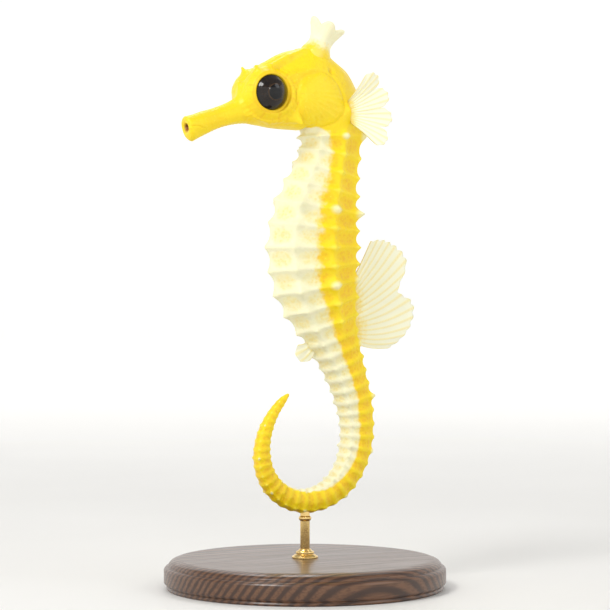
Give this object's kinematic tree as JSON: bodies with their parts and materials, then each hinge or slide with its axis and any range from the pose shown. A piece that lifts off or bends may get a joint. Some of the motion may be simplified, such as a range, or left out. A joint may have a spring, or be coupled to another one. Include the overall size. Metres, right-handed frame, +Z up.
{
  "type": "seahorse model on a display stand",
  "caption": "Life-size yellow seahorse with cream belly, crown and fins, its tail in an open curl, held up on a short rod over a round display base.",
  "frame": {"origin": "middle of the stand base's underside", "axes": "+Z up, the animal faces -X and its left side is towards -Y"},
  "size_m": [0.056, 0.056, 0.1129],
  "materials": {
    "skin": "satin yellow skin over bony rings, cream on the belly, procedural in the scene",
    "coronet": "satin cream, yellow at the foot",
    "eye": "wet gloss near-black with a thin golden rim",
    "fin": "thin translucent cream membrane over fine rays",
    "base": "dark walnut, satin lacquer",
    "rod": "polished brass"
  },
  "bodies": {
    "root": {"snout": "skin", "head": "skin", "neck": "skin", "chest": "skin", "belly": "skin", "tail_1": "skin", "tail_2": "skin", "tail_3": "skin", "tail_4": "skin", "tail_5": "skin", "tail_6": "skin", "coronet": "coronet", "eye_left": "eye", "eye_right": "eye", "pectoral_fin_left": "fin", "pectoral_fin_right": "fin", "dorsal_fin": "fin", "anal_fin": "fin", "stand_base": "base", "stand_collar": "rod", "stand_rod": "rod"}
  },
  "joints": []
}
